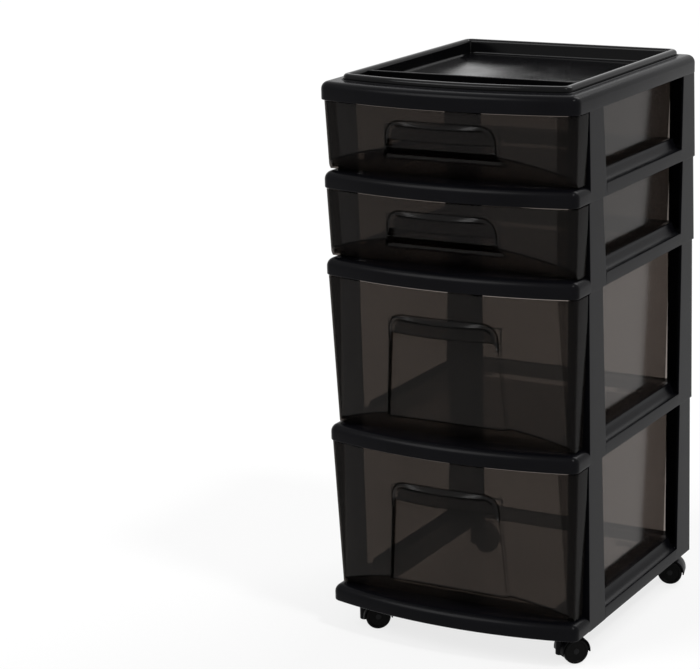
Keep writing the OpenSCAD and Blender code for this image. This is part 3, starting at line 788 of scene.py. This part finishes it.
def make_casters():
    """The four casters. Their stems and rings stay as the CAD has them, in plated steel."""
    for tag, (sx, y, turn) in CORNERS.items():
        place = caster_place(sx, y, turn)
        body = "caster_" + tag
        pieces = hood(tag, place)
        for obj in pieces:
            dress(obj, body, CASTER_BLACK, "caster_black")
        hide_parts("hood_" + tag)
        pin = dress(axle(tag, place), body, AXLE_BLACK, "steel")
        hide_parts("axle_" + tag)
        for letter, s in (("a", 1), ("b", -1)):
            piece = wheel(tag + "_" + letter, place, s)
            dress(piece, "wheel_%s_%s_body" % (tag, letter), WHEEL_BLACK, "wheel_black")
            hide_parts("wheel_%s_%s" % (tag, letter))
        for kind in ("stem_", "ring_"):
            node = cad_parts[kind + tag]
            node.data.materials.clear()
            node.data.materials.append(ZINC)


# ---------------------------------------------------------------- stage and light


def seen_directly(tree, add):
    """One for what the camera, a mirror or a clear wall shows, zero for what lights the object."""
    path = add("ShaderNodeLightPath")
    either = add("ShaderNodeMath", operation="MAXIMUM")
    any_of = add("ShaderNodeMath", operation="MAXIMUM")
    tree.links.new(path.outputs["Is Camera Ray"], either.inputs[0])
    tree.links.new(path.outputs["Is Glossy Ray"], either.inputs[1])
    tree.links.new(either.outputs["Value"], any_of.inputs[0])
    tree.links.new(path.outputs["Is Transmission Ray"], any_of.inputs[1])
    return any_of.outputs["Value"]


def make_stage():
    """A pale floor that runs out to a white background and keeps the soft shadow of the tower."""
    mat, tree, add = new_material("floor")
    out = add("ShaderNodeOutputMaterial")
    shader = add("ShaderNodeBsdfDiffuse")
    tone, _ = noise_between(tree, add, 3.0, 0.0, 1.0)
    mix = add("ShaderNodeMix", data_type="RGBA")
    mix.inputs[6].default_value = (0.92, 0.92, 0.92, 1)
    mix.inputs[7].default_value = (0.94, 0.94, 0.94, 1)
    white = add("ShaderNodeEmission", Strength=1.0)
    share = add("ShaderNodeMath", operation="MULTIPLY")
    seen = add("ShaderNodeMixShader")
    share.inputs[1].default_value = FLOOR_WHITE
    links = tree.links
    links.new(tone, mix.inputs[0])
    links.new(mix.outputs[2], shader.inputs["Color"])
    links.new(seen_directly(tree, add), share.inputs[0])
    links.new(share.outputs["Value"], seen.inputs["Fac"])
    links.new(shader.outputs["BSDF"], seen.inputs[1])
    links.new(white.outputs["Emission"], seen.inputs[2])
    links.new(seen.outputs["Shader"], out.inputs["Surface"])
    size = 12000
    corners = [(-size, -size, 0), (size, -size, 0), (size, size, 0), (-size, size, 0)]
    floor = mesh_object("floor", corners, [(0, 1, 2, 3)])
    floor.data.materials.append(mat)


def soft_sun(name, toward, level, angle):
    """A distant soft lamp. Its level is the tone that it gives a white surface facing it."""
    data = bpy.data.lights.new(name, "SUN")
    data.energy = math.pi * level
    data.angle = math.radians(angle)
    light = bpy.data.objects.new(name, data)
    bpy.context.collection.objects.link(light)
    light.rotation_euler = Vector(toward).to_track_quat("Z", "Y").to_euler()


def make_light():
    """White for what sees the background, a softer level for what it lights, and soft distant lamps."""
    world = bpy.data.worlds.new("world")
    bpy.context.scene.world = world
    world.use_nodes = True
    tree = world.node_tree
    tree.nodes.clear()

    def add(kind, **values):
        node = tree.nodes.new(kind)
        for key, value in values.items():
            setattr(node, key, value)
        return node

    out = add("ShaderNodeOutputWorld")
    seen = add("ShaderNodeBackground")
    soft = add("ShaderNodeBackground")
    mix = add("ShaderNodeMixShader")
    seen.inputs["Strength"].default_value = 1.0
    soft.inputs["Strength"].default_value = WORLD_LIGHT
    seen.inputs["Color"].default_value = (1, 1, 1, 1)
    soft.inputs["Color"].default_value = (1, 1, 1, 1)
    tree.links.new(seen_directly(tree, add), mix.inputs["Fac"])
    tree.links.new(soft.outputs["Background"], mix.inputs[1])
    tree.links.new(seen.outputs["Background"], mix.inputs[2])
    tree.links.new(mix.outputs["Shader"], out.inputs["Surface"])
    for lamp in LAMPS:
        soft_sun(*lamp)


make_camera()
for tier in TIERS:
    make_tier(*tier)
make_bosses()
make_top_frame()
make_tray()
make_drawers()
make_casters()
make_stage()
make_light()
bpy.context.scene.view_settings.view_transform = "Standard"
bpy.context.scene.cycles.transparent_max_bounces = 24
